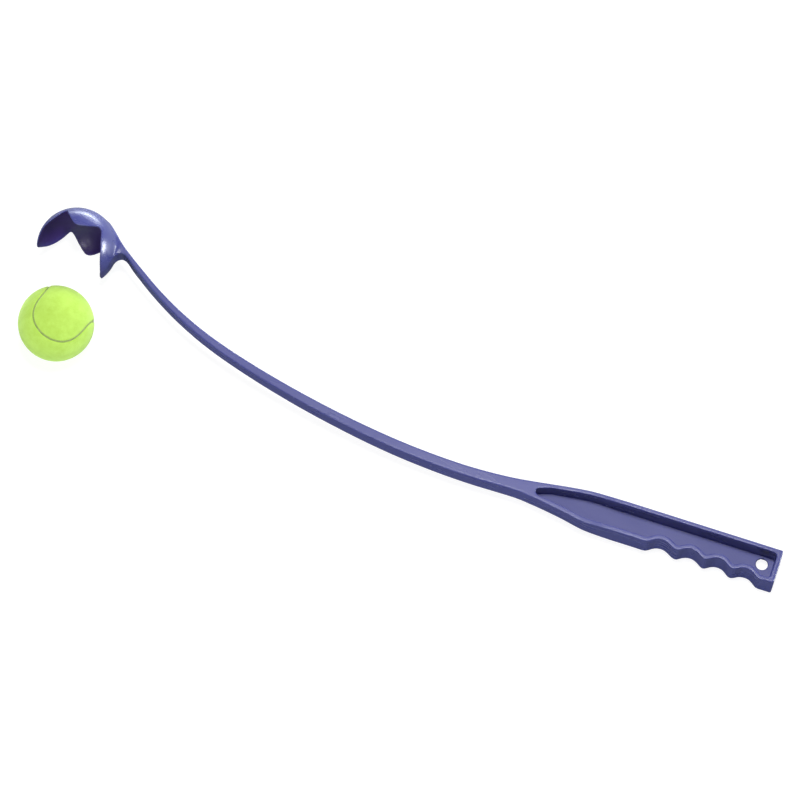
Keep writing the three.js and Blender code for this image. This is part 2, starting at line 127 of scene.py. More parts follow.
def eased(p, sigma, step):
    """An open curve with its small unevenness smoothed away, the ends kept."""
    k = int(3 * sigma / step)
    w = np.exp(-0.5 * (np.arange(-k, k + 1) * step / sigma) ** 2)
    w /= w.sum()
    a = np.vstack([2 * p[:1] - p[1:k + 1][::-1], p, 2 * p[-1:] - p[-k - 1:-1][::-1]])
    return np.stack([np.convolve(a[:, i], w, "valid") for i in range(2)], 1)


def resampled(p, step):
    u = np.concatenate([[0], np.cumsum(np.linalg.norm(np.diff(p, axis=0), axis=1))])
    v = np.linspace(0, u[-1], max(2, int(round(u[-1] / step)) + 1))
    return np.stack([np.interp(v, u, p[:, i]) for i in range(2)], 1)


class Field2:
    """Signed distance to a closed outline, negative inside, kept on a fine grid."""

    def __init__(self, outline, x0, x1, y0, y1, step=0.3, reach=26.0):
        self.x0, self.y0, self.step = x0, y0, step
        xs, ys = np.arange(x0, x1 + step, step), np.arange(y0, y1 + step, step)
        a = np.asarray(outline, float)
        b = np.roll(a, -1, axis=0)
        lo, hi = np.minimum(a[:, 0], b[:, 0]), np.maximum(a[:, 0], b[:, 0])
        self.f = np.empty((len(xs), len(ys)), np.float32)
        for i in range(0, len(xs), 24):
            xc = xs[i:i + 24]
            near = (hi > xc[0] - reach) & (lo < xc[-1] + reach)
            p, q = a[near], b[near]
            X, Y = np.meshgrid(xc, ys, indexing="ij")
            X, Y = X.ravel()[:, None], Y.ravel()[:, None]
            if not len(p):
                self.f[i:i + 24] = reach
                continue
            d = q - p
            l2 = np.maximum((d**2).sum(1), 1e-12)
            t = np.clip(((X - p[:, 0]) * d[:, 0] + (Y - p[:, 1]) * d[:, 1]) / l2, 0, 1)
            dist = ((X - p[:, 0] - t * d[:, 0]) ** 2 + (Y - p[:, 1] - t * d[:, 1]) ** 2).min(1) ** 0.5
            cross = (p[:, 0] > X) != (q[:, 0] > X)
            yc = p[:, 1] + (X - p[:, 0]) * d[:, 1] / np.where(d[:, 0] == 0, 1e-12, d[:, 0])
            inside = ((cross & (yc > Y)).sum(1) % 2) == 1
            self.f[i:i + 24] = np.where(inside, -dist, dist).reshape(len(xc), len(ys))

    def __call__(self, x, y):
        u = np.clip((x - self.x0) / self.step, 0, self.f.shape[0] - 1.001)
        v = np.clip((y - self.y0) / self.step, 0, self.f.shape[1] - 1.001)
        i, j = u.astype(np.int32), v.astype(np.int32)
        u, v = u - i, v - j
        f = self.f
        return (f[i, j] * (1 - u) * (1 - v) + f[i + 1, j] * u * (1 - v)
                + f[i, j + 1] * (1 - u) * v + f[i + 1, j + 1] * u * v)


def table(t, x):
    return np.interp(x, [p[0] for p in t], [p[1] for p in t])


def step01(x):
    x = np.clip(x, 0, 1)
    return x * x * (3 - 2 * x)


# ------------------------------------------------------------------ outlines
def outer_outline():
    r = 0.9
    top = eased(resampled(curve(ARM_TOP[1:] + NECK_TOP[1:] + [tuple(grip(s, 0)) for s in (506, 515, 530)], 0.5), 0.5), 3.0, 0.5)
    start = curve(ARM_TOP[:2], 0.5)[:-1]
    butt = (arc(grip(GRIP_END - r, -r), r, 90 + 7.92, 7.92, 6) + arc(grip(GRIP_END - r, -28.6 + r), r, 7.92, -90 + 7.92, 6))
    fingers = curve([tuple(grip(s, n)) for s, n in GRIP_LOW[1:-2]][::-1], 0.4)
    whole = curve(ARM_TOP, 1.0)
    whole = eased(resampled(whole, 1.0), 4.0, 1.0)
    d = np.gradient(whole, axis=0)
    d /= np.linalg.norm(d, axis=1)[:, None]
    h = table(ARM_H, whole[:, 0])
    low = whole + np.stack([d[:, 1], -d[:, 0]], 1) * h[:, None]
    keep = (whole[:, 0] > 62) & (low[:, 0] < 424)
    under = np.vstack([np.array([grip(*GRIP_LOW[0])]), np.array(NECK_LOW[:-1]), low[keep][::-1][::4], np.array(ROOT_UNDER)])
    under = resampled(curve(under, 0.4), 0.4)
    flat = under[:, 0] > 60
    under = np.vstack([eased(under[flat], 3.0, 0.4), under[~flat]])
    return np.vstack([[(30, 2.5), (20, 10), (16, 27)], start, top, butt, fingers, under])


def recess_outline(w, end_w):
    """The hollow of the handle: it follows the outline at the rim's width, with rounded ends."""
    up, low = [], []
    for i in range(4, len(NECK_TOP)):
        a, b = NECK_TOP[i - 1], NECK_TOP[min(i + 1, len(NECK_TOP) - 1)]
        l = math.hypot(b[0] - a[0], b[1] - a[1])
        up.append((NECK_TOP[i][0] + (b[1] - a[1]) / l * w, NECK_TOP[i][1] - (b[0] - a[0]) / l * w))
    rc = 3.2
    s1 = GRIP_END - end_w
    up += [tuple(grip(s, -w)) for s in (506, 520, 560, 600, 632)]
    up = resampled(curve(up, 0.5), 0.5)
    corner = arc(grip(s1 - rc, -w - rc), rc, 90 + 7.92, 7.92, 10) + arc(grip(s1 - rc, -28.6 + w + rc), rc, 7.92, -90 + 7.92, 10)
    pts = [p for p in GRIP_LOW if p[0] < 636]
    for i in range(len(pts) - 1, 0, -1):
        a, q, b = pts[i - 1], pts[i], pts[min(i + 1, len(pts) - 1)]
        l = math.hypot(b[0] - a[0], b[1] - a[1])
        low.append(tuple(grip(q[0] - (b[1] - a[1]) / l * w * 0.8, q[1] + (b[0] - a[0]) / l * w)))
    for i in range(1, len(NECK_LOW) - 1):
        if 454 <= NECK_LOW[i][0] <= 490:
            a, b = NECK_LOW[i - 1], NECK_LOW[i + 1]
            l = math.hypot(b[0] - a[0], b[1] - a[1])
            low.append((NECK_LOW[i][0] + (b[1] - a[1]) / l * w, NECK_LOW[i][1] - (b[0] - a[0]) / l * w))
    low = resampled(curve(low, 0.4), 0.4)
    nose = arc((450.6, -25.9), 3.3, 258, 112, 14)
    return np.vstack([up, corner, low, nose])


OUTER = Field2(outer_outline(), 8, 664, -52, 34)
HOLLOW = Field2(recess_outline(3.0, 3.7), 436, 660, -48, 26)


# ------------------------------------------------------------------ rim of the cup, as a distance on the sphere
def rim_field(step=0.75):
    ring = [(-p[0], p[1]) for p in RIM_DOWN[::-1]] + RIM_UP[1:]
    ring = [(p[0] - 360, p[1]) for p in ring[-6:-1]] + ring + [(p[0] + 360, p[1]) for p in ring[1:6]]
    dense = curve([(p[0] * 0.6, p[1]) for p in ring], 0.35)
    aa, ll = np.radians(dense[:, 0] / 0.6), np.radians(dense[:, 1])
    pts = np.stack([np.sin(ll) * np.cos(aa), -np.cos(ll), np.sin(ll) * np.sin(aa)], 1)
    ga, gl = np.radians(np.arange(-180, 180 + step, step)), np.radians(np.arange(0, 180 + step, step))
    A, L = np.meshgrid(ga, gl, indexing="ij")
    q = np.stack([np.sin(L) * np.cos(A), -np.cos(L), np.sin(L) * np.sin(A)], -1).reshape(-1, 3)
    best = np.concatenate([(q[i:i + 4000] @ pts.T).max(1) for i in range(0, len(q), 4000)])
    d = np.arccos(np.clip(best, -1, 1)).reshape(A.shape) * 33.6
    edge = np.interp(np.degrees(ga), np.degrees(aa), np.degrees(ll))
    return np.where(np.degrees(L) > edge[:, None], -d, d).astype(np.float32), step


RIM_F, RIM_STEP = rim_field()


def rim_distance(x, y, z, r):
    """How far a point lies outside the cup's rim, measured along the shell."""
    l = np.degrees(np.arccos(np.clip(-y / r, -1, 1))) / RIM_STEP
    a = (np.degrees(np.arctan2(z, x)) + 180) / RIM_STEP
    a, l = np.clip(a, 0, RIM_F.shape[0] - 1.001), np.clip(l, 0, RIM_F.shape[1] - 1.001)
    i, j = a.astype(np.int32), l.astype(np.int32)
    a, l = a - i, l - j
    return (RIM_F[i, j] * (1 - a) * (1 - l) + RIM_F[i + 1, j] * a * (1 - l)
            + RIM_F[i, j + 1] * (1 - a) * l + RIM_F[i + 1, j + 1] * a * l)


def meet(a, b, r):
    """Two solids' common part, its edge rounded to r."""
    return np.minimum(np.maximum(a, b), -r) + np.hypot(np.maximum(a + r, 0), np.maximum(b + r, 0))


def join(a, b, k):
    """Two solids joined by a smooth fillet about k wide."""
    h = np.maximum(k - np.abs(a - b), 0) / k
    return np.minimum(a, b) - h**3 * k / 6


def body(x, y, z):
    """The moulding's distance field."""
    t = table(THICK, x)
    half = t / 2
    w = np.abs(z)
    d = OUTER(x, y - 0.2) - 0.42 * step01((x - 40) / 30) + 0.16 * (w / half) ** 2 + 0.006 * w
    low = (step01((-13 - (GN[0] * x + GN[1] * y - GRIP_TOP)) / 6) * step01((x - 440) / 30)
           * step01((GRIP_END - 1.5 - GD[0] * x - GD[1] * y) / 12))
    d = d - 0.85 * low * np.clip(0.5 + z / t, 0, 1)
    r = 1.1 - 0.45 * step01((x - 436) / 40) - 0.2 * low
    f = meet(d, w - half, r)
    g = x > 440
    if g.any():
        xg, yg, zg = x[g], y[g], z[g]
        h = HOLLOW(xg, yg)
        near = meet(h + 0.018 * (13.5 - zg), WEB_TOP - zg, 0.5)
        far = meet(h + 0.018 * (13.5 + zg), zg - WEB_BOTTOM, 0.8)
        c = grip(HOLE_S, HOLE_N)
        hole = np.hypot(xg - c[0], yg - c[1]) - HOLE_R
        fg = meet(f[g], -near, 0.5 + 0.15 * low[g])
        fg = meet(fg, -far, 0.6)
        f[g] = meet(fg, -hole, 0.25)
    g = x < 90
    if g.any():
        xg, yg, zg = x[g], y[g], z[g]
        r = np.sqrt(xg * xg + yg * yg + zg * zg) + 1e-9
        out = rim_distance(xg, yg, zg, r)
        l = np.degrees(np.arccos(np.clip(-yg / r, -1, 1)))
        thin = 0.38 + 0.37 * xg / (np.hypot(xg, zg) + 1e-9)
        ro = CUP_RO - 0.04 - thin * step01((100 - l) / 34)
        ri = CUP_RI + 0.375 * (1 - xg / (np.hypot(xg, zg) + 1e-9)) * step01((out + 9) / 8)
        mid, wall = (ro + ri) / 2, (ro - ri) / 2
        cup = meet(out, np.abs(r - mid) - wall, 0.42)
        k = 3.2 + 6.3 * step01((yg - 5) / 9)
        f[g] = np.maximum(join(cup, f[g], k), CUP_RI - r)
    return f


# ------------------------------------------------------------------ the surface of a distance field
def surface(xs, ys, zs, field, windows):
    """One vertex in each cell that the surface crosses, moved onto it, and a quad across each crossed edge."""
    nx, ny, nz = len(xs), len(ys), len(zs)
    F = np.full((nx, ny, nz), 9.0, np.float32)
    for i0, i1, y0, y1, z0, z1 in windows:
        jy = np.nonzero((ys >= y0) & (ys <= y1))[0]
        kz = np.nonzero((zs >= z0) & (zs <= z1))[0]
        X, Y, Z = np.meshgrid(xs[i0:i1], ys[jy], zs[kz], indexing="ij")
        F[i0:i1, jy[0]:jy[-1] + 1, kz[0]:kz[-1] + 1] = field(X.ravel(), Y.ravel(), Z.ravel()).reshape(X.shape)
    s = F < 0
    n = s[:-1, :-1, :-1].astype(np.int8)
    for i in (0, 1):
        for j in (0, 1):
            for k in (0, 1):
                if i + j + k:
                    n += s[i:nx - 1 + i, j:ny - 1 + j, k:nz - 1 + k]
    live = np.nonzero((n > 0) & (n < 8))
    ids = np.full(n.shape, -1, np.int32)
    ids[live] = np.arange(len(live[0]))
    ci, cj, ck = live
    corner = {}
    for i in (0, 1):
        for j in (0, 1):
            for k in (0, 1):
                corner[i, j, k] = F[ci + i, cj + j, ck + k].astype(np.float64)
    acc, cnt = np.zeros((len(ci), 3)), np.zeros(len(ci))
    for c in corner:
        for ax in range(3):
            if c[ax]:
                continue
            e = list(c)
            e[ax] = 1
            a, b = corner[c], corner[tuple(e)]
            m = (a < 0) != (b < 0)
            t = np.where(m, a / np.where(m, a - b, 1), 0)
            p = np.zeros((len(ci), 3))
            for q in range(3):
                p[:, q] = c[q] + (t if q == ax else 0)
            acc += p * m[:, None]
            cnt += m
    p = acc / cnt[:, None]
    P = np.stack([xs[ci] + p[:, 0] * (xs[ci + 1] - xs[ci]), ys[cj] + p[:, 1] * (ys[cj + 1] - ys[cj]),
                  zs[ck] + p[:, 2] * (zs[ck + 1] - zs[ck])], 1)
    quads = []
    for ax in range(3):
        a = [slice(1, -1)] * 3
        a[ax] = slice(0, -1)
        b = [slice(1, -1)] * 3
        b[ax] = slice(1, None)
        s0, s1 = s[tuple(a)], s[tuple(b)]
        for flip, m in ((False, s0 & ~s1), (True, ~s0 & s1)):
            idx = list(np.nonzero(m))
            for q in range(3):
                if q != ax:
                    idx[q] = idx[q] + 1
            u, v = [(1, 2), (2, 0), (0, 1)][ax]
            loop = []
            for du, dv in ((-1, -1), (0, -1), (0, 0), (-1, 0)):
                c = list(idx)
                c[u] = c[u] + du
                c[v] = c[v] + dv
                loop.append(ids[c[0], c[1], c[2]])
            q4 = np.stack(loop, 1)
            quads.append(q4[:, ::-1] if flip else q4)
    return P, np.vstack(quads)


def slope(field, P, h=0.05):
    k = np.array([[1, -1, -1], [-1, -1, 1], [-1, 1, -1], [1, 1, 1]], float)
    g = np.zeros_like(P)
    v = np.zeros(len(P))
    for s in k:
        q = P + s * h
        f = field(q[:, 0].copy(), q[:, 1].copy(), q[:, 2].copy())
        g += s * f[:, None]
        v += f
    return g / (4 * h), v / 4


def settle(field, P, quads, rounds=3):
    """Evens the mesh out and lays each vertex on the surface."""
    e = np.vstack([quads[:, [0, 1]], quads[:, [1, 2]], quads[:, [2, 3]], quads[:, [3, 0]]])
    for i in range(rounds):
        s = np.zeros_like(P)
        c = np.bincount(e[:, 0], minlength=len(P)) + np.bincount(e[:, 1], minlength=len(P))
        for q in range(3):
            s[:, q] = np.bincount(e[:, 0], P[e[:, 1], q], len(P)) + np.bincount(e[:, 1], P[e[:, 0], q], len(P))
        avg = s / c[:, None]
        g, f = slope(field, P)
        n = g / np.maximum(np.linalg.norm(g, axis=1), 1e-6)[:, None]
        move = (avg - P)
        move -= (move * n).sum(1)[:, None] * n
        P = P + 0.5 * move
        for _ in range(2):
            g, f = slope(field, P)
            l2 = np.maximum((g * g).sum(1), 0.25)
            P = P - np.clip(f / l2, -0.4, 0.4)[:, None] * g
    return P


def thrower_points():
    fine = 0.5
    xs = np.concatenate([np.arange(-36, 66, fine), np.arange(66, 428, 3 * fine), np.arange(428, 660, 1.6 * fine)])
    ys = np.arange(-51.2, 37, fine)
    zs = np.arange(-36, 36 + fine, fine)
    windows = []
    i = 0
    while i < len(xs) - 1:
        j = min(i + 16, len(xs))
        x0, x1 = xs[i], xs[j - 1]
        if x0 < 66:
            windows.append((i, j, -37, 37, -36, 36.5))
        else:
            x = np.linspace(x0, x1, 6)
            if x1 <= 428:
                y = table(ARM_TOP, x)
                y0, y1 = y.min() - 14, y.max() + 3
            else:
                y = np.where(x < 503, table(NECK_TOP, x), GRIP_TOP / GN[1] + x * math.tan(HANDLE_ANGLE))
                y0, y1 = y.min() - 36, y.max() + 3
            t = table(THICK, x).max() / 2 + 2
            windows.append((i, j, y0, y1, -t, t))
        i = j
    P, Q = surface(xs, ys, zs, body, windows)
    return settle(body, P, Q), Q


def to_row(P):
    c, s = math.cos(LIE), math.sin(LIE)
    return (np.stack([c * P[:, 0] + s * P[:, 2], P[:, 1], -s * P[:, 0] + c * P[:, 2]], 1) + CUP_AT) / 1000.0


def make(name, points, faces, material=None, smooth=True):
    me = bpy.data.meshes.new(name)
    me.from_pydata([], [], [])
    n, k = len(points), faces.shape[1]
    me.vertices.add(n)
    me.vertices.foreach_set("co", np.asarray(points, np.float32).ravel())
    me.loops.add(faces.size)
    me.loops.foreach_set("vertex_index", faces.astype(np.int32).ravel())
    me.polygons.add(len(faces))
    me.polygons.foreach_set("loop_start", np.arange(0, faces.size, k, dtype=np.int32))
    me.update(calc_edges=True)
    me.validate()
    me.polygons.foreach_set("use_smooth", np.full(len(me.polygons), smooth))
    o = bpy.data.objects.new(name, me)
    scene.collection.objects.link(o)
    if material:
        me.materials.append(material)
    return o


# ------------------------------------------------------------------ materials
def nodes_of(name):
    m = bpy.data.materials.new(name)
    m.use_nodes = True
    t = m.node_tree
    t.nodes.clear()
    out = t.nodes.new("ShaderNodeOutputMaterial")
    p = t.nodes.new("ShaderNodeBsdfPrincipled")
    t.links.new(p.outputs[0], out.inputs[0])
    return m, t, p


def noise(t, co, scale, detail=2.0, rough=0.5, stretch=None):
    if stretch:
        mp = t.nodes.new("ShaderNodeMapping")
        mp.inputs["Scale"].default_value = stretch
        t.links.new(co, mp.inputs[0])
        co = mp.outputs[0]
    n = t.nodes.new("ShaderNodeTexNoise")
    n.inputs["Scale"].default_value = scale
    n.inputs["Detail"].default_value = detail
    n.inputs["Roughness"].default_value = rough
    t.links.new(co, n.inputs["Vector"])
    return n.outputs["Fac"]


def ramp(t, fac, stops):
    r = t.nodes.new("ShaderNodeValToRGB")
    e = r.color_ramp.elements
    for i, (pos, col) in enumerate(stops):
        x = e[i] if i < 2 else e.new(pos)
        x.position, x.color = pos, (*col, 1)
    t.links.new(fac, r.inputs[0])
    return r.outputs[0]


def mapped(t, fac, a, b, c, d):
    m = t.nodes.new("ShaderNodeMapRange")
    for k, v in zip((1, 2, 3, 4), (a, b, c, d)):
        m.inputs[k].default_value = v
    t.links.new(fac, m.inputs[0])
    return m.outputs[0]


def product(t, a, b):
    n = t.nodes.new("ShaderNodeMath")
    n.operation = "MULTIPLY"
    t.links.new(a, n.inputs[0])
    t.links.new(b, n.inputs[1])
    return n.outputs[0]


def bump(t, height, strength, distance, normal=None):
    b = t.nodes.new("ShaderNodeBump")
    b.inputs["Strength"].default_value = strength
    b.inputs["Distance"].default_value = distance
    t.links.new(height, b.inputs["Height"])
    if normal:
        t.links.new(normal, b.inputs["Normal"])
    return b.outputs[0]


def plastic():
    m, t, p = nodes_of("thrower_plastic")
    co = t.nodes.new("ShaderNodeTexCoord").outputs["Object"]
    cloud = noise(t, co, 14, 3, 0.5)
    bright = ramp(t, cloud, [(0.34, (0.057, 0.063, 0.240)), (0.66, (0.066, 0.072, 0.264))])
    # inside the cup the moulding is matt, and its base colour is painted darker and more violet: painted shade in the
    # cup's hollow
    off = t.nodes.new("ShaderNodeVectorMath")
    off.operation = "DISTANCE"
    off.inputs[1].default_value = tuple(CUP_AT / 1000)
    t.links.new(co, off.inputs[0])
    inside = mapped(t, off.outputs["Value"], 0.0332, 0.0338, 1.0, 0.0)
    cup_inside_painted_shade = t.nodes.new("ShaderNodeMix")
    cup_inside_painted_shade.data_type = "RGBA"
    t.links.new(inside, cup_inside_painted_shade.inputs[0])
    t.links.new(bright, cup_inside_painted_shade.inputs[6])
    # painted shade: this darker violet stands for the shade inside the cup, not a colour of the plastic
    cup_inside_painted_shade.inputs[7].default_value = (0.045, 0.017, 0.186, 1)
    t.links.new(cup_inside_painted_shade.outputs[2], p.inputs["Base Color"])
    fine = noise(t, co, 700, 2, 0.5)
    scuff = noise(t, co, 45, 5, 0.6, (0.25, 1.0, 1.0))
    # the floor of the handle's hollow is textured too
    level = t.nodes.new("ShaderNodeVectorMath")
    level.operation = "DOT_PRODUCT"
    level.inputs[1].default_value = (0.0298, 0.0, 0.99956)
    t.links.new(co, level.inputs[0])
    at, facing = t.nodes.new("ShaderNodeSeparateXYZ"), t.nodes.new("ShaderNodeSeparateXYZ")
    t.links.new(co, at.inputs[0])
    t.links.new(t.nodes.new("ShaderNodeNewGeometry").outputs["Normal"], facing.inputs[0])
    web = product(t, mapped(t, level.outputs["Value"], 0.0206, 0.0212, 1.0, 0.0), mapped(t, facing.outputs[2], 0.88, 0.96, 0.0, 1.0))
    web = product(t, web, mapped(t, at.outputs[0], 0.0, 0.02, 0.0, 0.24))
    # and the fillet where the arm leaves the cup
    root = t.nodes.new("ShaderNodeVectorMath")
    root.operation = "DISTANCE"
    root.inputs[1].default_value = (-0.2785, 0.0412, 0.0460)
    t.links.new(co, root.inputs[0])
    both = t.nodes.new("ShaderNodeMath")
    both.operation = "ADD"
    t.links.new(web, both.inputs[0])
    t.links.new(mapped(t, root.outputs["Value"], 0.0035, 0.0075, 0.30, 0.0), both.inputs[1])
    matt = t.nodes.new("ShaderNodeMath")
    matt.operation = "ADD"
    t.links.new(mapped(t, inside, 0.0, 1.0, 0.0, 0.10), matt.inputs[0])
    t.links.new(both.outputs[0], matt.inputs[1])
    rub = t.nodes.new("ShaderNodeMath")
    rub.operation = "ADD"
    t.links.new(mapped(t, scuff, 0.35, 0.75, 0.24, 0.32), rub.inputs[0])
    t.links.new(matt.outputs[0], rub.inputs[1])
    t.links.new(rub.outputs[0], p.inputs["Roughness"])
    t.links.new(bump(t, fine, 0.05, 0.00006), p.inputs["Normal"])
    p.inputs["Specular IOR Level"].default_value = 0.7
    return m


def felt():
    m, t, p = nodes_of("felt")
    co = t.nodes.new("ShaderNodeTexCoord").outputs["Object"]
    cloud = noise(t, co, 180, 4, 0.6)
    t.links.new(ramp(t, cloud, [(0.30, (0.450, 0.695, 0.094)), (0.70, (0.51, 0.775, 0.130))]), p.inputs["Base Color"])
    fib = noise(t, co, 2600, 3, 0.7)
    t.links.new(bump(t, fib, 0.4, 0.0003), p.inputs["Normal"])
    p.inputs["Roughness"].default_value = 0.95
    p.inputs["Sheen Weight"].default_value = 0.45
    p.inputs["Sheen Roughness"].default_value = 0.5
    p.inputs["Sheen Tint"].default_value = (0.8, 1.0, 0.5, 1)
    p.inputs["Specular IOR Level"].default_value = 0.2
    return m


def seam_rubber():
    m, t, p = nodes_of("seam_cement")
    co = t.nodes.new("ShaderNodeTexCoord").outputs["Object"]
    cloud = noise(t, co, 400, 3, 0.6)
    t.links.new(ramp(t, cloud, [(0.3, (0.25, 0.37, 0.09)), (0.7, (0.36, 0.46, 0.15))]), p.inputs["Base Color"])
    t.links.new(bump(t, noise(t, co, 1500, 2, 0.6), 0.3, 0.0002), p.inputs["Normal"])
    p.inputs["Roughness"].default_value = 0.7
    return m


def core_rubber():
    m, t, p = nodes_of("core_rubber")
    co = t.nodes.new("ShaderNodeTexCoord").outputs["Object"]
    t.links.new(ramp(t, noise(t, co, 300, 3, 0.6), [(0.3, (0.030, 0.030, 0.028)), (0.7, (0.055, 0.055, 0.05))]), p.inputs["Base Color"])
    t.links.new(bump(t, noise(t, co, 1200, 3, 0.6), 0.3, 0.0002), p.inputs["Normal"])
    p.inputs["Roughness"].default_value = 0.75
    return m


# ------------------------------------------------------------------ ball
def quat(x, y, z, w):
    n = math.sqrt(x * x + y * y + z * z + w * w)
    x, y, z, w = x / n, y / n, z / n, w / n
    return np.array([[1 - 2 * (y * y + z * z), 2 * (x * y - z * w), 2 * (x * z + y * w)],
                     [2 * (x * y + z * w), 1 - 2 * (x * x + z * z), 2 * (y * z - x * w)],
                     [2 * (x * z - y * w), 2 * (y * z + x * w), 1 - 2 * (x * x + y * y)]])


TURN = quat(*BALL_TURN)


def unit(v):
    return v / np.linalg.norm(v, axis=-1, keepdims=True)


def seam_line(t):
    b, c = SEAM
    a = 1 - b
    return unit(np.stack([a * np.cos(t) + b * np.cos(3 * t), a * np.sin(t) - b * np.sin(3 * t), c * np.sin(2 * t)], -1))


def beside(t, w):
    p, q = seam_line(t), seam_line(t + 1e-3)
    side = unit(np.cross(p, q - p))
    return p * np.cos(w) + side * np.sin(w)


def lumps(d, seed):
    """A soft uneven nap over the directions d."""
    rng = np.random.default_rng(seed)
    f = np.zeros(len(d))
    for scale, amp, k in ((9, 0.07, 30), (24, 0.07, 50), (60, 0.09, 60), (130, 0.10, 70)):
        w = rng.normal(size=(k, 3)) * scale
        ph = rng.uniform(0, 2 * math.pi, k)
        f += amp * np.sin(d @ w.T + ph).sum(1) / math.sqrt(k)
    return f


def felt_panel(name, second, material):
    n, m = ((240, 76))
    w = SEAM_HALF / BALL_R
    t = -math.pi / 4 + math.pi * np.arange(n + 1) / n
    a, b = beside(t, w), beside(1.5 * math.pi - t, w)
    ang = np.arccos(np.clip((a * b).sum(1), -1, 1))
    s = np.arange(m + 1) / m
    d = np.empty((n + 1, m + 1, 3))
    for i in range(n + 1):
        if i in (0, n) or ang[i] < 1e-5:
            d[i] = a[i]
        else:
            d[i] = (np.sin((1 - s) * ang[i])[:, None] * a[i] + np.sin(s * ang[i])[:, None] * b[i]) / math.sin(ang[i])
    d = unit(d)
    flat = d.reshape(-1, 3)
    ring = seam_line(np.linspace(0, 2 * math.pi, 1500, endpoint=False))
    near = np.concatenate([(flat[i:i + 4000] @ ring.T).max(1) for i in range(0, len(flat), 4000)])
    off = (np.arccos(np.clip(near, -1, 1)) * BALL_R - SEAM_HALF).clip(0)
    edge = np.clip(1 - off / 0.8, 0, 1)
    nap = lumps(flat, 7 if second else 5)
    outer = BALL_R - 0.26 + 0.26 * np.clip(nap, -1, 1) * (1 - 0.6 * edge) - 0.42 * (1 - np.sqrt(np.clip(1 - edge**2, 0, 1)))
    inner = np.full(len(flat), BALL_R - FELT_T)
    if second:
        flat = flat * [1, -1, -1]
    P = np.vstack([flat * outer[:, None], flat * inner[:, None]])
    idx = np.arange((n + 1) * (m + 1)).reshape(n + 1, m + 1)
    idx[0, :] = idx[0, 0]
    idx[n, :] = idx[n, 0]
    lay = len(flat)
    tris = []

    def put(p, q, r):
        if p != q and q != r and p != r:
            tris.append((p, q, r))

    for i in range(n):
        for j in range(m):
            p, q, r, u = idx[i, j], idx[i + 1, j], idx[i, j + 1], idx[i + 1, j + 1]
            put(p, r, q)
            put(q, r, u)
            put(p + lay, q + lay, r + lay)
            put(q + lay, u + lay, r + lay)
    loop = [idx[i, 0] for i in range(n + 1)] + [idx[i, m] for i in range(n - 1, 0, -1)]
    for i in range(len(loop)):
        p, q = loop[i], loop[(i + 1) % len(loop)]
        put(p, q, p + lay)
        put(q, q + lay, p + lay)
    T = np.array(tris)
    V = P @ TURN.T
    vol = (V[T[:, 0]] * np.cross(V[T[:, 1]], V[T[:, 2]])).sum()
    if vol < 0:
        T = T[:, ::-1]
    used = np.unique(T)
    back = np.full(len(V), -1)
    back[used] = np.arange(len(used))
    return make(name, (V[used] + BALL_AT) / 1000, back[T], material)


def seam_band(name, material):
    n, k = ((700, 8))
    t = 2 * math.pi * np.arange(n) / n
    rows = []
    for j in range(k + 1):
        u = -1 + 2 * j / k
        d = beside(t, u * (SEAM_HALF + 0.02) / BALL_R)
        r = BALL_R - 0.80 - 0.10 * u * u + 0.05 * lumps(d * 2.0, 11)
        rows.append(d * r[:, None])
    for u in (1, 0, -1):
        rows.append(beside(t, u * (SEAM_HALF + 0.02) / BALL_R) * (BALL_R - FELT_T))
    R = np.stack(rows, 1)
    m = R.shape[1]
    idx = np.arange(n * m).reshape(n, m)
    a, b = idx, np.roll(idx, -1, axis=0)
    c, d = np.roll(idx, -1, axis=1), np.roll(np.roll(idx, -1, axis=0), -1, axis=1)
    Q = np.stack([a, b, d, c], -1).reshape(-1, 4)
    V = R.reshape(-1, 3) @ TURN.T
    vol = (V[Q[:, 0]] * np.cross(V[Q[:, 1]], V[Q[:, 2]])).sum() + (V[Q[:, 0]] * np.cross(V[Q[:, 2]], V[Q[:, 3]])).sum()
    if vol < 0:
        Q = Q[:, ::-1]
    return make(name, (V + BALL_AT) / 1000, Q, material)


# ------------------------------------------------------------------ camera, light, floor
def camera():
    c = bpy.data.cameras.new("camera")
    c.sensor_width = 36
    c.lens = 157.5
    c.clip_start, c.clip_end = 0.1, 60
    o = bpy.data.objects.new("camera", c)
    right, up, back = (0.893295, 0.448661, -0.026974), (-0.405853, 0.830943, 0.380548), (0.193151, -0.328994, 0.924368)
    m = Matrix([(right[i], up[i], back[i], (0.564772, -0.933450, 2.737793)[i]) for i in range(3)] + [(0, 0, 0, 1)])
    o.matrix_world = m
    scene.collection.objects.link(o)
    scene.camera = o


COOL = (0.94, 0.98, 1.0)


def softbox(name, at, aim, size, power, color=(1, 1, 1), gloss=True, diffuse=True):
    l = bpy.data.lights.new(name, "AREA")
    l.shape = "RECTANGLE"
    l.size, l.size_y = size
    l.energy = power
    l.color = color
    o = bpy.data.objects.new(name, l)
    o.visible_glossy, o.visible_diffuse = gloss, diffuse
    at, aim = Vector(at), Vector(aim)
    o.location = at
    o.rotation_mode = "QUATERNION"
    o.rotation_quaternion = (aim - at).to_track_quat("-Z", "Y")
    o.visible_camera = False
    scene.collection.objects.link(o)
    return o


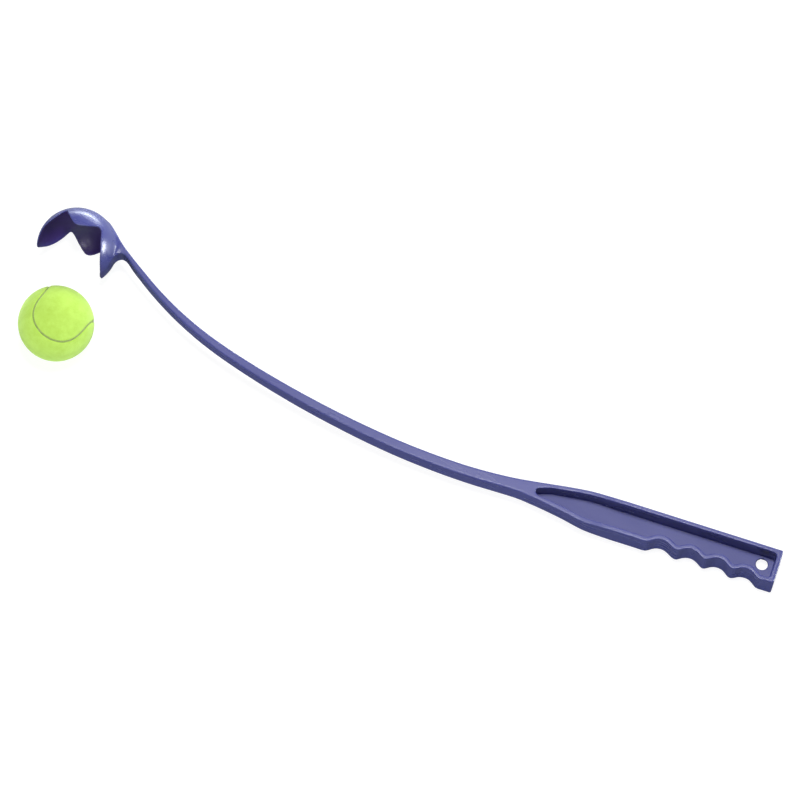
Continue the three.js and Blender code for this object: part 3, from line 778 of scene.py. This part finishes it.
def floor():
    me = bpy.data.meshes.new("floor")
    r, n = 14.0, 96
    pts = [(0, 0, 0)] + [(r * math.cos(2 * math.pi * i / n), r * math.sin(2 * math.pi * i / n), 0) for i in range(n)]
    me.from_pydata(pts, [], [(0, 1 + i, 1 + (i + 1) % n) for i in range(n)])
    o = bpy.data.objects.new("floor", me)
    scene.collection.objects.link(o)
    m, t, p = nodes_of("light_table")
    co = t.nodes.new("ShaderNodeTexCoord").outputs["Object"]
    t.links.new(ramp(t, noise(t, co, 3, 2, 0.5), [(0.3, (0.20, 0.20, 0.20)), (0.7, (0.21, 0.21, 0.21))]), p.inputs["Base Color"])
    p.inputs["Roughness"].default_value = 0.9
    p.inputs["Specular IOR Level"].default_value = 0.1
    p.inputs["Emission Color"].default_value = (1, 1, 1, 1)
    p.inputs["Emission Strength"].default_value = 0.90
    # the sheet glows for what it lights; the plastic's reflections see its far half, with one bright part behind the cup
    dim = t.nodes.new("ShaderNodeBsdfDiffuse")
    dim.inputs["Color"].default_value = (0.10, 0.10, 0.10, 1)
    glow, add = t.nodes.new("ShaderNodeEmission"), t.nodes.new("ShaderNodeAddShader")
    glow.inputs[0].default_value = (0.93, 1.0, 1.0, 1)
    path, mix = t.nodes.new("ShaderNodeLightPath"), t.nodes.new("ShaderNodeMixShader")
    cut = t.nodes.new("ShaderNodeSeparateXYZ")
    t.links.new(co, cut.inputs[0])
    soft = product(t, path.outputs["Is Diffuse Ray"], mapped(t, cut.outputs[0], -0.25, 0.28, 1.35, 1.20))
    far = t.nodes.new("ShaderNodeVectorMath")
    far.operation = "SUBTRACT"
    far.inputs[1].default_value = (-0.43, 0.95, 0)
    t.links.new(co, far.inputs[0])
    narrow = t.nodes.new("ShaderNodeVectorMath")
    narrow.operation = "MULTIPLY"
    narrow.inputs[1].default_value = (2.0, 1.0, 1.0)
    t.links.new(far.outputs[0], narrow.inputs[0])
    length = t.nodes.new("ShaderNodeVectorMath")
    length.operation = "LENGTH"
    t.links.new(narrow.outputs[0], length.inputs[0])
    lit = t.nodes.new("ShaderNodeMath")
    lit.operation = "ADD"
    t.links.new(mapped(t, length.outputs["Value"], 0.24, 0.72, 26.0, 0.0), lit.inputs[0])
    t.links.new(mapped(t, cut.outputs[1], 0.04, 0.12, 0.0, 0.58), lit.inputs[1])
    shine = product(t, path.outputs["Is Glossy Ray"], lit.outputs[0])
    both = t.nodes.new("ShaderNodeMath")
    both.operation = "ADD"
    t.links.new(soft, both.inputs[0])
    t.links.new(shine, both.inputs[1])
    t.links.new(both.outputs[0], glow.inputs[1])
    t.links.new(dim.outputs[0], add.inputs[0])
    t.links.new(glow.outputs[0], add.inputs[1])
    t.links.new(path.outputs["Is Camera Ray"], mix.inputs[0])
    t.links.new(add.outputs[0], mix.inputs[1])
    t.links.new(p.outputs[0], mix.inputs[2])
    t.links.new(mix.outputs[0], [n for n in t.nodes if n.type == "OUTPUT_MATERIAL"][0].inputs[0])
    m.cycles.emission_sampling = "NONE"
    me.materials.append(m)
    return o


def surroundings():
    w = bpy.data.worlds.new("studio")
    scene.world = w
    w.use_nodes = True
    t = w.node_tree
    t.nodes.clear()
    out = t.nodes.new("ShaderNodeOutputWorld")
    bg = t.nodes.new("ShaderNodeBackground")
    pale = t.nodes.new("ShaderNodeBackground")
    mix = t.nodes.new("ShaderNodeMixShader")
    path = t.nodes.new("ShaderNodeLightPath")
    co = t.nodes.new("ShaderNodeTexCoord").outputs["Generated"]
    dot = t.nodes.new("ShaderNodeVectorMath")
    dot.operation = "DOT_PRODUCT"
    dot.inputs[1].default_value = (0.0, 0.72, 0.69)
    t.links.new(co, dot.inputs[0])
    col = ramp(t, mapped(t, dot.outputs["Value"], -0.6, 1.0, 0.0, 1.0),
               [(0.0, (0.03, 0.02, 0.03)), (0.42, (0.07, 0.06, 0.07)), (0.75, (0.42, 0.44, 0.46)), (1.0, (0.52, 0.54, 0.57))])
    t.links.new(col, bg.inputs[0])
    bg.inputs[1].default_value = 0.44
    pale.inputs[0].default_value = (0.88, 0.88, 0.88, 1)
    t.links.new(path.outputs["Is Camera Ray"], mix.inputs[0])
    t.links.new(bg.outputs[0], mix.inputs[1])
    t.links.new(pale.outputs[0], mix.inputs[2])
    t.links.new(mix.outputs[0], out.inputs[0])


camera()
surroundings()
floor()
softbox("overhead", (-0.55, 0.96, 2.67), (0, 0, 0), (1.5, 1.5), 6, diffuse=False)
softbox("top", (0.12, 0.22, 2.9), (0, 0, 0), (0.8, 0.5), 74, gloss=False)
softbox("top_shine", (0.12, 0.22, 2.9), (0, 0, 0), (0.8, 0.5), 42, diffuse=False)
softbox("front", (-0.75, -1.35, 2.2), (-0.3, 0, 0), (1.0, 1.0), 4, gloss=False)
softbox("front_shine", (-0.42, -1.7, 1.9), (-0.3, 0, 0), (0.5, 0.5), 8.5, diffuse=False)
softbox("front_low", (-0.6, -2.4, 0.5), (-0.3, 0, 0), (0.8, 0.5), 14, gloss=False)
softbox("back_strip", (-0.65, 2.21, 0.15), (-0.3, 0.03, 0.05), (1.8, 0.26), 34, COOL, gloss=False)
softbox("back_shine", (-0.3, 2.2, 0.38), (-0.3, 0.03, 0.05), (1.2, 0.3), 4, COOL, diffuse=False)
softbox("right_strip", (1.41, 1.03, 0.15), (-0.3, 0.03, 0.05), (1.1, 0.26), 13, COOL, gloss=False)
softbox("right_shine", (1.57, 0.87, 0.13), (-0.3, 0.03, 0.05), (0.9, 0.24), 32, COOL, diffuse=False)

scene.view_settings.view_transform = "Standard"
scene.view_settings.look = "None"

# ------------------------------------------------------------------ pieces
PLASTIC, FELT, CEMENT, RUBBER = plastic(), felt(), seam_rubber(), core_rubber()

points, quads = thrower_points()
moulding = make("thrower_moulding", to_row(points), quads, PLASTIC)
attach(moulding, "thrower")
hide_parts("ball_cup", "throwing_arm", "handle")

for name, second, node in (("felt_cover_a", False, "felt_panel_a"), ("felt_cover_b", True, "felt_panel_b")):
    o = felt_panel(name, second, FELT)
    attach(o, "ball")
    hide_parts(node)
band = seam_band("cement_seam", CEMENT)
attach(band, "ball")
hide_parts("seam_strip")

for n in ("core_half_a", "core_half_b"):
    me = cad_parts[n].data
    me.materials.clear()
    me.materials.append(RUBBER)
